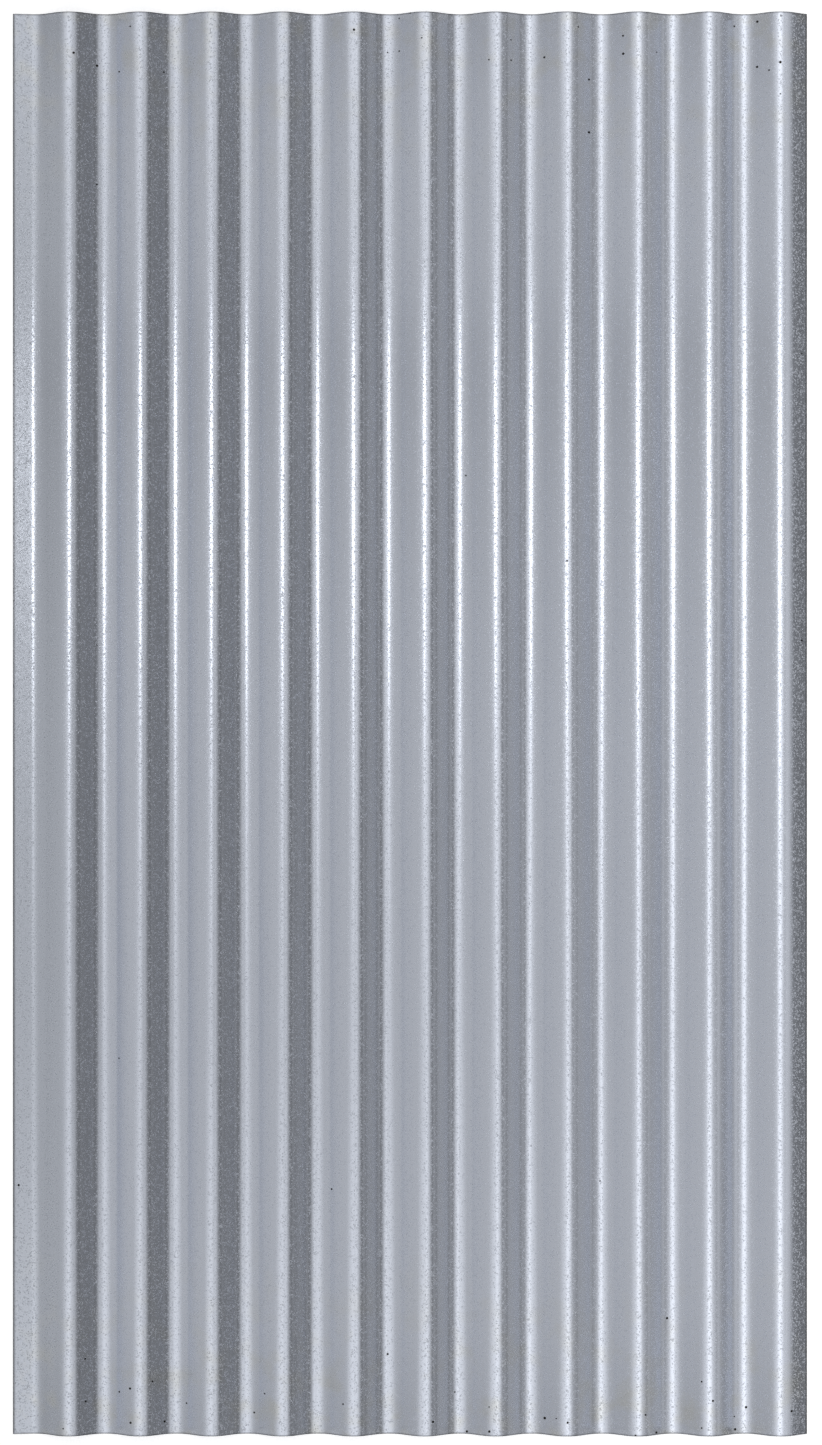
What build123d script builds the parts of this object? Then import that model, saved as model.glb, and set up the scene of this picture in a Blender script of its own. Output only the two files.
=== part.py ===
"""A corrugated sheet of aluminium-zinc coated steel, 76.2 mm pitch, as laid flat on a floor.

The corrugations run along Y and follow one another along X. The section is the true one of a
rolled sheet: equal arcs for crests and valleys, joined by straight flanks that touch both. The
left edge is a nearly flat lip beyond the first valley, and the right edge stops on its way down
from the last crest, so that the next sheet's lip goes under it. Z is zero where the valleys rest.
"""

import os
from math import cos, radians, sin, tan

from build123d import *

# The wave, in millimetres and degrees
corrugation_count = 11
pitch = 76.2
overall_depth = 18.0
flank_angle = 38.0

# The sheet
sheet_length = 1524.0
sheet_thickness = 0.5

# The two side edges
lip_run = 22.5
lip_angle = 8.0
free_edge_run = 29.5

# How far the untrimmed section goes past each side edge
trim_overrun = 6.0

# Where a circle's lowest and highest points lie, in degrees anticlockwise from +X
lowest_point_angle = 270.0
highest_point_angle = 90.0

quarter_pitch = pitch / 4
half_pitch = pitch / 2
middle_height = overall_depth / 2
half_thickness = sheet_thickness / 2
wave_height = middle_height - half_thickness

# The radius of the sheet's middle that makes a crest, a straight flank and a valley fit one wave
flank_slope = radians(flank_angle)
bend_radius = (quarter_pitch * sin(flank_slope) - wave_height * cos(flank_slope)) / (
    1 - cos(flank_slope)
)

sheet_width = lip_run + (2 * corrugation_count - 1) * half_pitch + free_edge_run
left_edge_x = -sheet_width / 2
first_valley_x = left_edge_x + lip_run
valley_centre_z = middle_height - wave_height + bend_radius
crest_centre_z = middle_height + wave_height - bend_radius


def bend(index, lift):
    """One bend of the surface that lies lift above the sheet's middle: a valley or a crest."""
    bend_x = first_valley_x + index * half_pitch
    if index % 2:
        start = highest_point_angle + flank_angle
        return CenterArc((bend_x, crest_centre_z), bend_radius + lift, start, -2 * flank_angle)
    start = lowest_point_angle - (flank_angle if index else lip_angle)
    sweep = lowest_point_angle + flank_angle - start
    return CenterArc((bend_x, valley_centre_z), bend_radius - lift, start, sweep)


def lip_end(valley):
    """The end of the lip's straight line, past the left edge, on the same surface as the valley."""
    run = lip_run + trim_overrun
    return (valley @ 0) + Vector(-run, run * tan(radians(lip_angle)))


def surface(lift):
    """The whole line of one surface, lip first, and its two ends."""
    # One crest more than the sheet has, so that the free edge is always cut from a full flank
    bends = [bend(index, lift) for index in range(2 * corrugation_count + 2)]
    start = lip_end(bends[0])
    Line(start, bends[0] @ 0)
    for before, after in zip(bends, bends[1:]):
        Line(before @ 1, after @ 0)
    return start, bends[-1] @ 1


def corrugated_section():
    """The sheet's cross-section between its two side edges."""
    with BuildSketch(Plane.XZ) as section:
        with BuildLine():
            top_start, top_end = surface(half_thickness)
            bottom_start, bottom_end = surface(-half_thickness)
            Line(top_start, bottom_start)
            Line(top_end, bottom_end)
        make_face()
        with Locations((0, middle_height)):
            Rectangle(sheet_width, 2 * overall_depth, mode=Mode.INTERSECT)
    return section.sketch


def corrugated_sheet():
    """The section drawn out to the sheet's length, half of it each way."""
    with BuildPart() as sheet:
        extrude(corrugated_section(), amount=sheet_length / 2, both=True)
    return sheet.part


os.makedirs("parts", exist_ok=True)
export_step(corrugated_sheet(), "parts/corrugated_sheet.step")
print("bend radius", round(bend_radius, 2), "mm; sheet width", round(sheet_width, 1), "mm")
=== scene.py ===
"""Dresses the corrugated sheet: its rolled surface, its metal coating, and a plain pale studio."""

from math import asin, cos, radians, sin, tan

import bmesh
import bpy
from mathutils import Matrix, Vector


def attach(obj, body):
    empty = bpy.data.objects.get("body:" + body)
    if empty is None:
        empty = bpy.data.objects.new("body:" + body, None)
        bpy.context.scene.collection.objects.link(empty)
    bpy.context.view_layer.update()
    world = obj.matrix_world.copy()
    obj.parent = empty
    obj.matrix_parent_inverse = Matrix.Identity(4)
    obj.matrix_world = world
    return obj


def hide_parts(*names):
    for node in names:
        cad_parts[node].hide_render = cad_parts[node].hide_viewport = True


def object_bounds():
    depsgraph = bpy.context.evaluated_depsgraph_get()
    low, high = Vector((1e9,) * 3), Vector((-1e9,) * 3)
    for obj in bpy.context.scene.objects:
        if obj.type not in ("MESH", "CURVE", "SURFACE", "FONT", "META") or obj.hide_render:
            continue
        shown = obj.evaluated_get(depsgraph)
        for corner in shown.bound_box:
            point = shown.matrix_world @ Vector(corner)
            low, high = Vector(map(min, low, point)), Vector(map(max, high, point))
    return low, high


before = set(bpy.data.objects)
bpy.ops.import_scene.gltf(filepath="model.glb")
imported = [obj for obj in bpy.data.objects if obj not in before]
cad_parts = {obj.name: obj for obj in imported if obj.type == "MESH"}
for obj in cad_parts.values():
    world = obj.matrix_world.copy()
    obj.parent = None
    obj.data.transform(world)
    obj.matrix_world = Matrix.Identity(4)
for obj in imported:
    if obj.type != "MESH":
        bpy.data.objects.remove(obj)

bl_info = {
    "name": "Corrugated Sheet",
    "version": (1, 0, 0),
    "blender": (4, 5, 0),
    "location": "3D View > Sidebar > Sheet",
    "description": "Models a corrugated steel sheet and the pale studio that it is shown in",
    "category": "Object",
}

MM = 0.001
SHEET_NODE = "corrugated_sheet"
BODY = "root"

low_corner, high_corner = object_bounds()
SHEET_WIDTH, SHEET_LENGTH, SHEET_DEPTH = high_corner - low_corner

# The room's light, as levels by the angle from straight overhead in degrees: across the sheet with
# the left side negative, times along it with the near side negative. First the pale wall at the
# left, which has a dimmer patch on its far half and dims towards both ends
WALL_ACROSS = ((-90, 0.52), (-79, 0.64), (-50, 0.64), (-34, 0.0))
WALL_ALONG = (
    (-11, 0.70),
    (-9.6, 0.83),
    (-8.4, 1.0),
    (0.5, 1.0),
    (2.2, 0.94),
    (3.5, 0.90),
    (4.9, 0.80),
    (5.3, 0.80),
    (6.2, 1.0),
    (8.4, 1.0),
    (9.1, 0.90),
    (9.8, 0.77),
    (11, 0.70),
)
# The ceiling is lightest overhead, and dims towards the right and towards both far ends
CEILING_ACROSS = (
    (-50, 0.0),
    (-34, 0.63),
    (-20, 0.68),
    (-8, 0.84),
    (0, 0.88),
    (6, 0.82),
    (11, 0.67),
    (18, 0.56),
    (24, 0.47),
    (31, 0.36),
    (40, 0.26),
    (50, 0.21),
    (84, 0.21),
)
CEILING_ALONG = ((-90, 0.45), (-40, 1.0), (40, 1.0), (90, 0.45))
# A bright strip overhead ends sharply at its far side and fades out at its near one
STRIP_ACROSS = ((-5, 0.0), (-1.5, 4.8), (2, 5.0), (5.5, 0.0))
STRIP_ALONG = (
    (-4.5, 0.0),
    (-1, 0.08),
    (0.5, 0.25),
    (1.5, 0.5),
    (2.6, 0.85),
    (4.8, 1.0),
    (5.5, 0.0),
)
# The ceiling is a little lighter beyond both ends of the sheet
ENDS_ACROSS = ((-34, 0.0), (-22, 0.26), (12, 0.28), (32, 0.2), (42, 0.0))
ENDS_ALONG = (
    (-55, 0.0),
    (-30, 0.6),
    (-10, 1.0),
    (-7, 0.5),
    (-4, 0.0),
    (6, 0.0),
    (8, 0.4),
    (10, 1.0),
    (30, 0.6),
    (55, 0.0),
)

# The softboxes over and beside the right half, which light its bends and its dark flanks: name,
# metres right of and above the sheet's middle, degrees turned from facing down, width in metres,
# power in watts, and the degrees over which its grid lets the light out
SOFTBOXES = (
    ("overhead_softbox", 0.45, 1.2, 0, 0.5, 0.47, 75),
    ("right_softbox", 0.75, 0.7, 15, 0.7, 0.09, 50),
    ("side_softbox", 0.65, 0.35, 45, 0.34, 0.085, 56),
    ("low_softbox", 0.5, 0.105, 90, 0.13, 0.34, 180),
)


def linear(hex_colour):
    """An sRGB hex colour as linear red, green, blue and alpha."""
    channels = [int(hex_colour[i : i + 2], 16) / 255 for i in (0, 2, 4)]
    return [c / 12.92 if c <= 0.04045 else ((c + 0.055) / 1.055) ** 2.4 for c in channels] + [1.0]


def add_node(tree, kind, inputs, **settings):
    """Adds a node with its settings; inputs gives each socket a value or another node's output."""
    node = tree.nodes.new(kind)
    for name, value in settings.items():
        setattr(node, name, value)
    for socket, value in inputs.items():
        if isinstance(value, bpy.types.NodeSocket):
            tree.links.new(value, node.inputs[socket])
        else:
            node.inputs[socket].default_value = value
    return node


def new_tree(owner):
    """The empty node tree of a new material or world."""
    owner.use_nodes = True
    owner.node_tree.nodes.clear()
    return owner.node_tree


class SheetSizes(bpy.types.PropertyGroup):
    """The rolled section, which is the CAD model's."""

    corrugations: bpy.props.IntProperty(
        name="Corrugations", description="How many crests the sheet has", default=11, min=1
    )
    pitch: bpy.props.FloatProperty(
        name="Pitch", description="From crest to crest", default=76.2 * MM, unit="LENGTH"
    )
    thickness: bpy.props.FloatProperty(
        name="Thickness", description="Of the sheet itself", default=0.5 * MM, unit="LENGTH"
    )
    flank_angle: bpy.props.FloatProperty(
        name="Flank angle",
        description="Slope of the straight flanks",
        default=radians(38.0),
        unit="ROTATION",
    )
    lip_run: bpy.props.FloatProperty(
        name="Lip",
        description="From the first valley to the left edge",
        default=22.5 * MM,
        unit="LENGTH",
    )
    lip_angle: bpy.props.FloatProperty(
        name="Lip angle",
        description="Slope of the lap lip",
        default=radians(8.0),
        unit="ROTATION",
    )
    bend_steps: bpy.props.IntProperty(
        name="Bend steps", description="Flat steps in each bend", default=16, min=2
    )
    flank_steps: bpy.props.IntProperty(
        name="Flank steps", description="Flat steps in each straight flank", default=4, min=1
    )
    length_cuts: bpy.props.IntProperty(
        name="Length cuts", description="Cuts across the sheet's length", default=59, min=0
    )
    edge_margin: bpy.props.FloatProperty(
        name="Edge margin",
        description="Width of the narrow band of faces along every cut edge",
        default=1.2 * MM,
        unit="LENGTH",
    )
    edge_rounding: bpy.props.FloatProperty(
        name="Edge rounding",
        description="How far the shears rounded each cut edge",
        default=0.12 * MM,
        unit="LENGTH",
    )


class CoatingFinish(bpy.types.PropertyGroup):
    """The colours and the grain of the metal coating."""

    metal: bpy.props.FloatVectorProperty(
        name="Metal",
        description="Colour of the clean coating",
        subtype="COLOR",
        size=4,
        min=0.0,
        max=1.0,
        default=linear("CBD0DB"),
    )
    edge: bpy.props.FloatVectorProperty(
        name="Cut edge",
        description="Colour of the sheared steel",
        subtype="COLOR",
        size=4,
        min=0.0,
        max=1.0,
        default=linear("7C7F86"),
    )
    # Painted shade: this colour darkens bands along both side edges, standing in for the darker
    # reflections of the first flank and of the free edge's flank
    side_band_shade: bpy.props.FloatVectorProperty(
        name="Lap stain",
        description="Colour of the coating along both side edges, where the next sheets lap",
        subtype="COLOR",
        size=4,
        min=0.0,
        max=1.0,
        default=linear("BFC4CE"),
    )
    # Painted shade: width of the darkened band at the left
    left_shade_width: bpy.props.FloatProperty(
        name="Lap", description="Width of the dull band at the left", default=50 * MM, unit="LENGTH"
    )
    # Painted shade: width of the darkened band at the right
    right_shade_width: bpy.props.FloatProperty(
        name="Free edge lap",
        description="Width of the dull band at the right",
        default=10 * MM,
        unit="LENGTH",
    )
    grime: bpy.props.FloatVectorProperty(
        name="Grime",
        description="Colour of the stained patches near the cut ends",
        subtype="COLOR",
        size=4,
        min=0.0,
        max=1.0,
        default=linear("C8C9C6"),
    )
    stain_reach: bpy.props.FloatProperty(
        name="Stain reach",
        description="How far the stained patches reach in from the cut ends",
        default=220 * MM,
        unit="LENGTH",
    )
    patch_size: bpy.props.FloatProperty(
        name="Patch", description="Width of one stained patch", default=30 * MM, unit="LENGTH"
    )
    # Colour of the real pits, and also of the painted shade line along the cut edges
    pit_and_edge_shade: bpy.props.FloatVectorProperty(
        name="Pits",
        description="Colour of the pits and of the line that the shears left",
        subtype="COLOR",
        size=4,
        min=0.0,
        max=1.0,
        default=linear("2E2C2A"),
    )
    pit_reach: bpy.props.FloatProperty(
        name="Pit reach",
        description="How far most of the pits reach in from the cut ends",
        default=90 * MM,
        unit="LENGTH",
    )
    side_reach: bpy.props.FloatProperty(
        name="Side reach",
        description="How far the pits along the side edges reach in",
        default=8 * MM,
        unit="LENGTH",
    )
    pit_spacing: bpy.props.FloatProperty(
        name="Pit spacing",
        description="Width of the cells that may each hold one pit",
        default=12 * MM,
        unit="LENGTH",
    )
    pit_share: bpy.props.FloatProperty(
        name="Pit share",
        description="Share of the cells at the cut ends that hold a pit",
        default=0.11,
        min=0.0,
        max=1.0,
    )
    # Painted shade: width over which the dark line along the cut edges fades out
    edge_shade_width: bpy.props.FloatProperty(
        name="Sheared line",
        description="Width over which the dark line along the cut ends fades out",
        default=2 * MM,
        unit="LENGTH",
    )
    streak_width: bpy.props.FloatProperty(
        name="Streak width",
        description="Across a streak that the rolls left",
        default=3 * MM,
        unit="LENGTH",
    )
    streak_length: bpy.props.FloatProperty(
        name="Streak length",
        description="Along a streak that the rolls left",
        default=500 * MM,
        unit="LENGTH",
    )
    smoothest: bpy.props.FloatProperty(
        name="Smoothest", description="Roughness of the brightest crystals", default=0.13, min=0.0
    )
    roughest: bpy.props.FloatProperty(
        name="Roughest", description="Roughness of the dullest crystals", default=0.42, min=0.0
    )
    dull_share: bpy.props.FloatProperty(
        name="Dull share",
        description="Share of the crystals that are duller than the smoothest",
        default=0.35,
        min=0.0,
        max=1.0,
    )
    directional: bpy.props.FloatProperty(
        name="Directional",
        description="How much more the rolled surface scatters light across than along",
        default=0.95,
        min=0.0,
        max=1.0,
    )
    crystal_size: bpy.props.FloatProperty(
        name="Crystal", description="Width of one crystal grain", default=1.3 * MM, unit="LENGTH"
    )
    tip_across: bpy.props.FloatProperty(
        name="Tip across",
        description="How far a crystal may be tipped across the rolling direction",
        default=radians(0.8),
        unit="ROTATION",
    )
    tip_along: bpy.props.FloatProperty(
        name="Tip along",
        description="How far a crystal may be tipped along the rolling direction",
        default=radians(0.15),
        unit="ROTATION",
    )


class StudioSettings(bpy.types.PropertyGroup):
    """The camera and the light round the sheet."""

    camera_height: bpy.props.FloatProperty(
        name="Camera height", description="Above the floor", default=4.4, unit="LENGTH"
    )
    view_length: bpy.props.FloatProperty(
        name="View length",
        description="Length along the sheet that the picture takes in",
        default=1.5485,
        unit="LENGTH",
    )
    camera_x: bpy.props.FloatProperty(
        name="Camera X", description="Right of the sheet's middle", default=1.1 * MM, unit="LENGTH"
    )
    camera_y: bpy.props.FloatProperty(
        name="Camera Y", description="Past the sheet's middle", default=1.55 * MM, unit="LENGTH"
    )
    floor_size: bpy.props.FloatProperty(
        name="Floor", description="Side of the square floor", default=12.0, unit="LENGTH"
    )
    floor_gap: bpy.props.FloatProperty(
        name="Floor gap",
        description="How far the floor lies under the sheet's valleys",
        default=0.05 * MM,
        unit="LENGTH",
    )
    floor_glow: bpy.props.FloatProperty(
        name="Floor glow",
        description="What the white floor adds to its own light for the camera and the metal",
        default=0.5,
        min=0.0,
    )
    softbox_length: bpy.props.FloatProperty(
        name="Softbox length", description="Along the sheet", default=3.2, unit="LENGTH"
    )
    softbox_power: bpy.props.FloatProperty(
        name="Softbox power",
        description="How bright the softboxes are, where one is as in the picture",
        default=1.0,
        min=0.0,
    )


def weathered_and_shaded_colour(tree, finish, place):
    """The coating's colour: faint streaks from the rolls, stains towards the cut ends and a few
    pits, most of them near the ends, with painted shade on top: darker bands along both side edges
    and a dark line along the cut edges."""
    axes = add_node(tree, "ShaderNodeSeparateXYZ", {"Vector": place})
    across = axes.outputs["X"]
    off_middle = add_node(tree, "ShaderNodeMath", {0: axes.outputs["Y"]}, operation="ABSOLUTE")
    from_end, from_left, from_right = [
        add_node(tree, "ShaderNodeMath", {0: more, 1: less}, operation="SUBTRACT").outputs[0]
        for more, less in (
            (high_corner.y, off_middle.outputs[0]),
            (across, low_corner.x),
            (high_corner.x, across),
        )
    ]
    from_side = add_node(
        tree, "ShaderNodeMath", {0: from_left, 1: from_right}, operation="MINIMUM"
    ).outputs[0]

    # How strongly each mark shows, which is one up to the first distance and none from the second
    left_band_shade, right_band_shade, end_stain, end_wear, side_wear, end_edge_shade, side_edge_shade = [
        add_node(
            tree,
            "ShaderNodeMapRange",
            {"Value": distance, "From Min": whole, "From Max": none, "To Min": 1.0, "To Max": 0.0},
        ).outputs[0]
        for distance, whole, none in (
            (from_left, finish.left_shade_width, 1.2 * finish.left_shade_width),
            (from_right, finish.right_shade_width, 1.5 * finish.right_shade_width),
            (from_end, 0.0, finish.stain_reach),
            (from_end, 0.0, finish.pit_reach),
            (from_side, 0.0, finish.side_reach),
            (from_end, 0.0, finish.edge_shade_width),
            (from_side, 0.0, 1.5 * finish.edge_shade_width),
        )
    ]

    # The rolls' streaks make the metal up to 2.5 % lighter or darker
    streak_scale = (1 / finish.streak_width, 1 / finish.streak_length, 1 / finish.streak_width)
    drawn = add_node(
        tree, "ShaderNodeVectorMath", {0: place, 1: streak_scale}, operation="MULTIPLY"
    )
    streaks = add_node(
        tree, "ShaderNodeTexNoise", {"Vector": drawn.outputs[0], "Scale": 1.0, "Detail": 2.0}
    )
    level = add_node(
        tree,
        "ShaderNodeMath",
        {0: streaks.outputs["Fac"], 1: 0.05, 2: 0.975},
        operation="MULTIPLY_ADD",
    )
    colour = add_node(
        tree,
        "ShaderNodeVectorMath",
        {0: finish.metal[:3], "Scale": level.outputs[0]},
        operation="SCALE",
    ).outputs[0]

    # Painted shade: both side bands are darkened, standing in for the darker reflections of the
    # first flank at the left and of the free edge's flank at the right
    banded_shade = add_node(tree, "ShaderNodeMath", {0: left_band_shade, 1: right_band_shade}, operation="MAXIMUM")

    # Stains lie in patches, in the upper half of the noise's levels and never at full strength
    patches = add_node(
        tree, "ShaderNodeTexNoise", {"Vector": place, "Scale": 1 / finish.patch_size, "Detail": 4.0}
    )
    patchy = add_node(
        tree,
        "ShaderNodeMapRange",
        {"Value": patches.outputs["Fac"], "From Min": 0.5, "From Max": 0.7, "To Max": 0.7},
    )
    stained = add_node(
        tree, "ShaderNodeMath", {0: end_stain, 1: patchy.outputs[0]}, operation="MULTIPLY"
    )

    # One cell in a thousand holds a pit of 1 to 3 mm, and more do where the sheet is worn
    cells = add_node(
        tree,
        "ShaderNodeTexVoronoi",
        {"Vector": place, "Scale": 1 / finish.pit_spacing},
        voronoi_dimensions="2D",
    )
    luck = add_node(tree, "ShaderNodeSeparateColor", {"Color": cells.outputs["Color"]})
    worn = add_node(tree, "ShaderNodeMath", {0: end_wear, 1: side_wear}, operation="MAXIMUM")
    chance = add_node(
        tree,
        "ShaderNodeMath",
        {0: worn.outputs[0], 1: finish.pit_share, 2: 0.001},
        operation="MULTIPLY_ADD",
    )
    picked = add_node(
        tree,
        "ShaderNodeMath",
        {0: luck.outputs["Red"], 1: chance.outputs[0]},
        operation="LESS_THAN",
    )
    radius = add_node(
        tree,
        "ShaderNodeMath",
        {0: luck.outputs["Green"], 1: 0.06, 2: 0.06},
        operation="MULTIPLY_ADD",
    )
    hole = add_node(
        tree,
        "ShaderNodeMath",
        {0: cells.outputs["Distance"], 1: radius.outputs[0]},
        operation="LESS_THAN",
    )
    pitted = add_node(
        tree, "ShaderNodeMath", {0: picked.outputs[0], 1: hole.outputs[0]}, operation="MULTIPLY"
    )

    # Painted shade: a dark line along the cut edges stands in for the shade of the rounded edges,
    # and is fainter at the ends than along the sides
    faint = add_node(tree, "ShaderNodeMath", {0: end_edge_shade, 1: 0.7}, operation="MULTIPLY")
    painted_edge_shade = add_node(
        tree, "ShaderNodeMath", {0: faint.outputs[0], 1: side_edge_shade}, operation="MAXIMUM"
    )

    for share, mark in (
        (banded_shade, finish.side_band_shade),
        (stained, finish.grime),
        (pitted, finish.pit_and_edge_shade),
        (painted_edge_shade, finish.pit_and_edge_shade),
    ):
        # A colour Mix node has its two colours in sockets 6 and 7, and gives its own in output 2
        laid = {"Factor": share.outputs[0], 6: colour, 7: mark}
        colour = add_node(tree, "ShaderNodeMix", laid, data_type="RGBA").outputs[2]
    return colour


def metal_coating(finish):
    """Aluminium-zinc coated steel, hot dipped and rolled. Two in three of its crystals are smooth,
    which gives bright lines along the bends, and the rest are duller, which gives the flanks grain.
    The rolls leave it scattering light across the sheet more than along it."""
    material = bpy.data.materials.new("aluminium_zinc_coating")
    tree = new_tree(material)
    place = add_node(tree, "ShaderNodeTexCoord", {}).outputs["Object"]
    # Real crystals are 0.2 to 1 mm wide, and are drawn a little coarser so that they show
    crystals = add_node(
        tree, "ShaderNodeTexVoronoi", {"Vector": place, "Scale": 1 / finish.crystal_size}
    )
    lean = add_node(
        tree,
        "ShaderNodeVectorMath",
        {0: crystals.outputs["Color"], 1: (0.5, 0.5, 0.5)},
        operation="SUBTRACT",
    )
    tipped = add_node(
        tree,
        "ShaderNodeVectorMath",
        {
            0: lean.outputs[0],
            1: (2 * tan(finish.tip_across), 2 * tan(finish.tip_along), 0),
            2: add_node(tree, "ShaderNodeNewGeometry", {}).outputs["Normal"],
        },
        operation="MULTIPLY_ADD",
    )
    facing = add_node(tree, "ShaderNodeVectorMath", {0: tipped.outputs[0]}, operation="NORMALIZE")
    kinds = add_node(tree, "ShaderNodeSeparateColor", {"Color": crystals.outputs["Color"]})
    dullness = add_node(
        tree,
        "ShaderNodeMapRange",
        {
            "Value": kinds.outputs["Blue"],
            "From Min": 1 - finish.dull_share,
            "To Min": finish.smoothest,
            "To Max": finish.roughest,
        },
    )
    shader = add_node(
        tree,
        "ShaderNodeBsdfPrincipled",
        {
            "Base Color": weathered_and_shaded_colour(tree, finish, place),
            "Metallic": 1.0,
            "Roughness": dullness.outputs[0],
            "Anisotropic": finish.directional,
            "Tangent": add_node(tree, "ShaderNodeCombineXYZ", {"X": 1.0}).outputs[0],
            "Normal": facing.outputs[0],
        },
    )
    add_node(tree, "ShaderNodeOutputMaterial", {"Surface": shader.outputs["BSDF"]})
    return material


def sheared_edge(finish):
    """Cold sheared steel: dull and darker, with no coating left on it."""
    material = bpy.data.materials.new("sheared_steel_edge")
    tree = new_tree(material)
    place = add_node(tree, "ShaderNodeTexCoord", {}).outputs["Object"]
    burr = add_node(
        tree, "ShaderNodeTexNoise", {"Vector": place, "Scale": 1 / (0.3 * MM), "Detail": 2.0}
    )
    relief = add_node(
        tree, "ShaderNodeBump", {"Height": burr.outputs["Fac"], "Distance": 0.03 * MM}
    )
    shader = add_node(
        tree,
        "ShaderNodeBsdfPrincipled",
        {
            "Base Color": finish.edge,
            "Metallic": 1.0,
            "Roughness": 0.45,
            "Normal": relief.outputs["Normal"],
        },
    )
    add_node(tree, "ShaderNodeOutputMaterial", {"Surface": shader.outputs["BSDF"]})
    return material


def draw_line(bm, vert, step, count=1):
    """Draws a straight stretch of the section on from vert in count equal steps."""
    for _ in range(count):
        made = bmesh.ops.extrude_vert_indiv(bm, verts=[vert])["verts"]
        bmesh.ops.translate(bm, verts=made, vec=step / count)
        vert = made[0]
    return vert


def draw_bend(bm, vert, centre, angle, steps):
    """Draws an arc of the section on from vert round centre."""
    spun = bmesh.ops.spin(
        bm, geom=[vert], cent=centre, axis=(0, 1, 0), angle=angle, steps=steps, use_merge=False
    )
    return next(item for item in spun["geom_last"] if isinstance(item, bmesh.types.BMVert))


def draw_section(bm, sizes):
    """The line of the sheet's upper surface, from the lip's edge to the free edge."""
    half = sizes.thickness / 2
    slope, lip = sizes.flank_angle, sizes.lip_angle
    middle = (low_corner.z + high_corner.z) / 2
    wave = SHEET_DEPTH / 2 - half
    radius = (sizes.pitch / 4 * sin(slope) - wave * cos(slope)) / (1 - cos(slope))
    valley_z = middle - wave + radius
    crest_z = middle + wave - radius
    valley_radius = radius - half
    flank_run = sizes.pitch / 2 - 2 * radius * sin(slope)
    rise = Vector((flank_run, 0, flank_run * tan(slope)))
    fall = Vector((flank_run, 0, -flank_run * tan(slope)))

    # The lip starts a little inside the edge, so that its sheared end doesn't lean out past it
    start_x = low_corner.x + sizes.thickness * sin(lip)
    valley_x = low_corner.x + sizes.lip_run
    tangent = Vector((valley_x - valley_radius * sin(lip), 0, valley_z - valley_radius * cos(lip)))
    lip_line = Vector((tangent.x - start_x, 0, (start_x - tangent.x) * tan(lip)))
    margin = lip_line.normalized() * sizes.edge_margin
    vert = bmesh.ops.create_vert(bm, co=tangent - lip_line)["vert"][0]
    vert = draw_line(bm, vert, margin)
    vert = draw_line(bm, vert, lip_line - margin, sizes.flank_steps)
    vert = draw_bend(bm, vert, (valley_x, 0, valley_z), -(lip + slope), sizes.bend_steps)
    for crest in range(sizes.corrugations):
        crest_x = valley_x + (crest + 0.5) * sizes.pitch
        valley = (crest_x + sizes.pitch / 2, 0, valley_z)
        vert = draw_line(bm, vert, rise, sizes.flank_steps)
        vert = draw_bend(bm, vert, (crest_x, 0, crest_z), 2 * slope, sizes.bend_steps)
        vert = draw_line(bm, vert, fall, sizes.flank_steps)
        if crest < sizes.corrugations - 1:
            vert = draw_bend(bm, vert, valley, -2 * slope, sizes.bend_steps)

    # The free edge is cut where the sheet has begun to level out again
    margin_x = high_corner.x - sizes.edge_margin
    for cut_x in (margin_x, high_corner.x):
        turned = asin((valley[0] - vert.co.x) / valley_radius)
        left = asin((valley[0] - cut_x) / valley_radius)
        vert = draw_bend(bm, vert, valley, left - turned, 1)


class SHEET_OT_build(bpy.types.Operator):
    """Models the corrugated sheet from its rolled section"""

    bl_idname = "sheet.build"
    bl_label = "Corrugated Sheet"

    def execute(self, context):
        sizes = context.scene.sheet_sizes
        finish = context.scene.coating_finish
        bm = bmesh.new()
        draw_section(bm, sizes)
        bmesh.ops.translate(bm, verts=bm.verts, vec=(0, low_corner.y, 0))
        swept = bmesh.ops.extrude_edge_only(bm, edges=bm.edges[:])["geom"]
        far = [item for item in swept if isinstance(item, bmesh.types.BMVert)]
        bmesh.ops.translate(bm, verts=far, vec=(0, SHEET_LENGTH, 0))
        along = [e for e in bm.edges if abs(e.verts[0].co.y - e.verts[1].co.y) > SHEET_LENGTH / 2]
        bmesh.ops.subdivide_edges(bm, edges=along, cuts=sizes.length_cuts, use_grid_fill=True)
        for end_y in (low_corner.y + sizes.edge_margin, high_corner.y - sizes.edge_margin):
            everything = bm.verts[:] + bm.edges[:] + bm.faces[:]
            bmesh.ops.bisect_plane(bm, geom=everything, plane_co=(0, end_y, 0), plane_no=(0, 1, 0))
        bmesh.ops.recalc_face_normals(bm, faces=bm.faces)
        if sum(face.normal.z for face in bm.faces) < 0:
            bmesh.ops.reverse_faces(bm, faces=bm.faces)
        bmesh.ops.solidify(bm, geom=bm.faces[:], thickness=sizes.thickness)
        bmesh.ops.recalc_face_normals(bm, faces=bm.faces)

        # Only the faces of the cut edges have a side as short as the sheet is thick
        for face in bm.faces:
            if min(edge.calc_length() for edge in face.edges) < 1.1 * sizes.thickness:
                face.material_index = 1
        rims = [e for e in bm.edges if len({f.material_index for f in e.link_faces}) == 2]
        bmesh.ops.bevel(
            bm,
            geom=rims,
            offset=sizes.edge_rounding,
            affect="EDGES",
            segments=2,
            profile=0.5,
            material=-1,
        )
        for face in bm.faces:
            face.smooth = True
        mesh = bpy.data.meshes.new("rolled_sheet")
        bm.to_mesh(mesh)
        bm.free()
        mesh.materials.append(metal_coating(finish))
        mesh.materials.append(sheared_edge(finish))
        sheet = bpy.data.objects.new("rolled_sheet", mesh)
        context.collection.objects.link(sheet)
        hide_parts(SHEET_NODE)
        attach(sheet, BODY)
        print("rolled sheet:", len(mesh.polygons), "faces")
        return {"FINISHED"}


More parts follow.
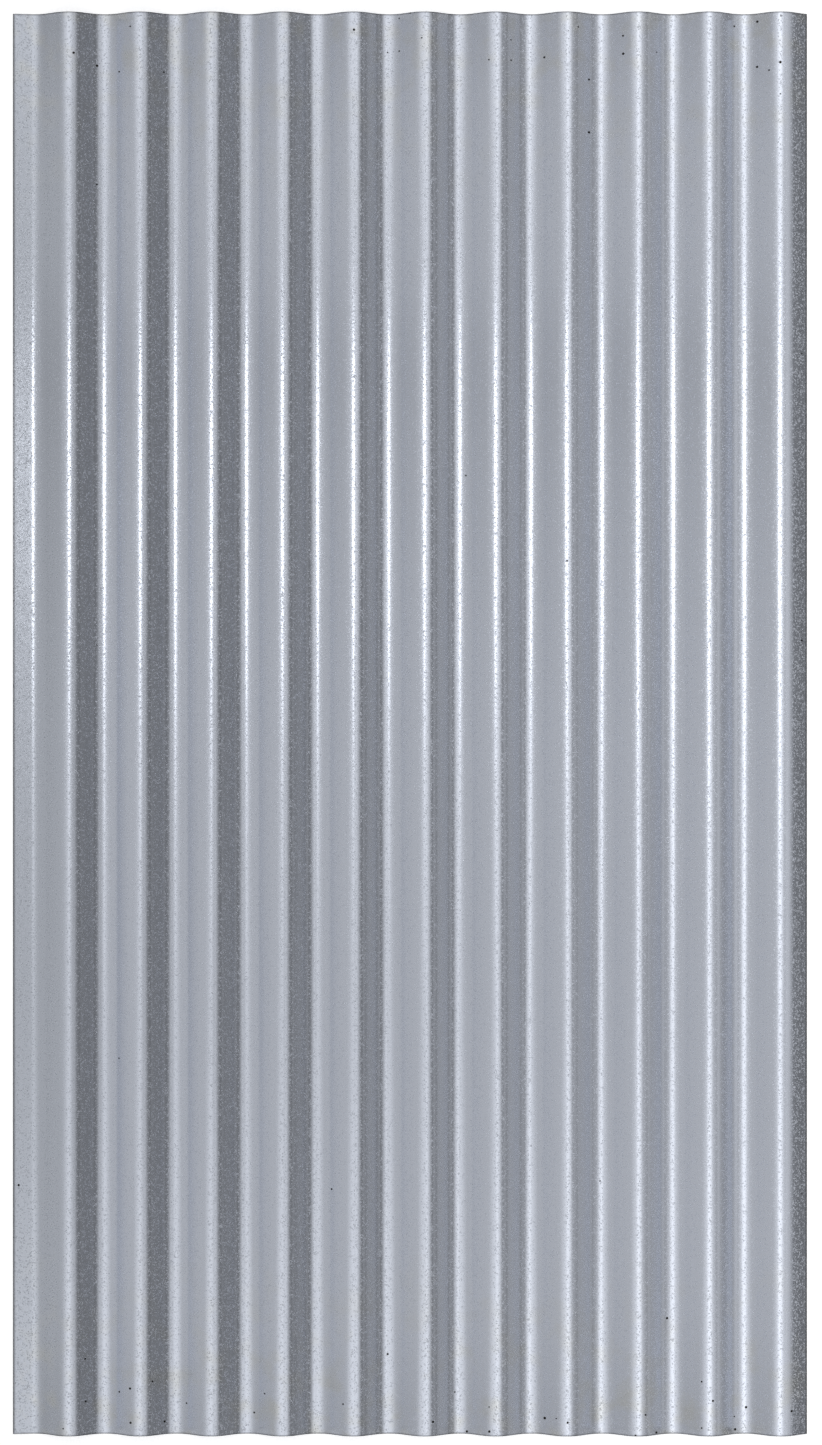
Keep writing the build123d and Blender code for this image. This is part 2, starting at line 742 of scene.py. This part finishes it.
def floor_paint(studio):
    """Matt white board. The camera and the metal see it as white, and it keeps the shadow."""
    material = bpy.data.materials.new("white_floor_board")
    tree = new_tree(material)
    path = add_node(tree, "ShaderNodeLightPath", {})
    seen = add_node(
        tree,
        "ShaderNodeMath",
        {0: path.outputs["Is Camera Ray"], 1: path.outputs["Is Glossy Ray"]},
        operation="MAXIMUM",
    )
    strength = add_node(
        tree, "ShaderNodeMath", {0: seen.outputs[0], 1: studio.floor_glow}, operation="MULTIPLY"
    )
    board = add_node(tree, "ShaderNodeBsdfDiffuse", {"Color": linear("F0F0F0")})
    glow = add_node(tree, "ShaderNodeEmission", {"Strength": strength.outputs[0]})
    both = add_node(tree, "ShaderNodeAddShader", {0: board.outputs[0], 1: glow.outputs[0]})
    add_node(tree, "ShaderNodeOutputMaterial", {"Surface": both.outputs[0]})
    return material


def room_levels(tree, axis, levels):
    """The levels of one table, by the direction's part along one axis."""
    place = add_node(
        tree, "ShaderNodeMapRange", {"Value": axis, "From Min": -1.0, "From Max": 1.0}
    )
    ramp = add_node(tree, "ShaderNodeValToRGB", {"Fac": place.outputs[0]})
    elements = ramp.color_ramp.elements
    while len(elements) < len(levels):
        elements.new(1.0)
    for element, (angle, level) in zip(elements, levels):
        element.position = (sin(radians(angle)) + 1) / 2
        element.color = (level, level, level, 1)
    return ramp.outputs[0]


def light_room(world):
    """A pale room, all of it far off: a wall at the left, a ceiling that darkens towards the right
    with a bright strip in it, and lighter ends. The camera sees plain white instead."""
    tree = new_tree(world)
    direction = add_node(tree, "ShaderNodeTexCoord", {}).outputs["Generated"]
    axes = add_node(tree, "ShaderNodeSeparateXYZ", {"Vector": direction})
    level = 0.0
    for across, along in (
        (WALL_ACROSS, WALL_ALONG),
        (CEILING_ACROSS, CEILING_ALONG),
        (STRIP_ACROSS, STRIP_ALONG),
        (ENDS_ACROSS, ENDS_ALONG),
    ):
        part = {
            0: room_levels(tree, axes.outputs["X"], across),
            1: room_levels(tree, axes.outputs["Y"], along),
            2: level,
        }
        level = add_node(tree, "ShaderNodeMath", part, operation="MULTIPLY_ADD").outputs[0]
    path = add_node(tree, "ShaderNodeLightPath", {})
    seen = add_node(
        tree,
        "ShaderNodeMix",
        {"Factor": path.outputs["Is Camera Ray"], "A": level, "B": 1.0},
        data_type="FLOAT",
    )
    light = add_node(
        tree, "ShaderNodeBackground", {"Color": linear("FFFFFF"), "Strength": seen.outputs[0]}
    )
    add_node(tree, "ShaderNodeOutputWorld", {"Surface": light.outputs[0]})


class SHEET_OT_stage(bpy.types.Operator):
    """Sets up the floor, the room, the softboxes and the camera"""

    bl_idname = "sheet.stage"
    bl_label = "Studio"

    def execute(self, context):
        studio = context.scene.studio_settings
        bm = bmesh.new()
        bmesh.ops.create_grid(bm, x_segments=1, y_segments=1, size=studio.floor_size / 2)
        bmesh.ops.translate(bm, verts=bm.verts, vec=(0, 0, -studio.floor_gap))
        mesh = bpy.data.meshes.new("floor")
        bm.to_mesh(mesh)
        bm.free()
        mesh.materials.append(floor_paint(studio))
        floor = bpy.data.objects.new("floor", mesh)
        context.collection.objects.link(floor)

        world = bpy.data.worlds.new("studio")
        light_room(world)
        context.scene.world = world
        context.scene.view_settings.view_transform = "Standard"

        for name, x, z, turn, width, power, spread in SOFTBOXES:
            light = bpy.data.lights.new(name, "AREA")
            light.shape = "RECTANGLE"
            light.size = width
            light.size_y = studio.softbox_length
            light.energy = power * studio.softbox_power
            light.spread = radians(spread)
            lamp = bpy.data.objects.new(name, light)
            lamp.location = (x, 0, z)
            lamp.rotation_euler = (0, radians(turn), 0)
            context.collection.objects.link(lamp)

        lens = bpy.data.cameras.new("camera")
        distance = studio.camera_height - SHEET_DEPTH / 2
        lens.lens = lens.sensor_width * distance / studio.view_length
        camera = bpy.data.objects.new("camera", lens)
        camera.location = (studio.camera_x, studio.camera_y, studio.camera_height)
        context.collection.objects.link(camera)
        context.scene.camera = camera
        return {"FINISHED"}


class SHEET_PT_panel(bpy.types.Panel):
    """Lists the sheet's sizes, its finish and the studio"""

    bl_idname = "SHEET_PT_panel"
    bl_label = "Corrugated Sheet"
    bl_space_type = "VIEW_3D"
    bl_region_type = "UI"
    bl_category = "Sheet"

    def draw(self, context):
        for group, operator in (
            (context.scene.sheet_sizes, SHEET_OT_build),
            (context.scene.coating_finish, None),
            (context.scene.studio_settings, SHEET_OT_stage),
        ):
            box = self.layout.box()
            for name in group.bl_rna.properties.keys():
                if name not in ("rna_type", "name"):
                    box.prop(group, name)
            if operator:
                box.operator(operator.bl_idname)


CLASSES = (
    SheetSizes,
    CoatingFinish,
    StudioSettings,
    SHEET_OT_build,
    SHEET_OT_stage,
    SHEET_PT_panel,
)


def register():
    for cls in CLASSES:
        bpy.utils.register_class(cls)
    bpy.types.Scene.sheet_sizes = bpy.props.PointerProperty(type=SheetSizes)
    bpy.types.Scene.coating_finish = bpy.props.PointerProperty(type=CoatingFinish)
    bpy.types.Scene.studio_settings = bpy.props.PointerProperty(type=StudioSettings)


def unregister():
    del bpy.types.Scene.studio_settings
    del bpy.types.Scene.coating_finish
    del bpy.types.Scene.sheet_sizes
    for cls in reversed(CLASSES):
        bpy.utils.unregister_class(cls)


def main():
    register()
    bpy.ops.sheet.build()
    bpy.ops.sheet.stage()


if __name__ == "__main__":
    main()
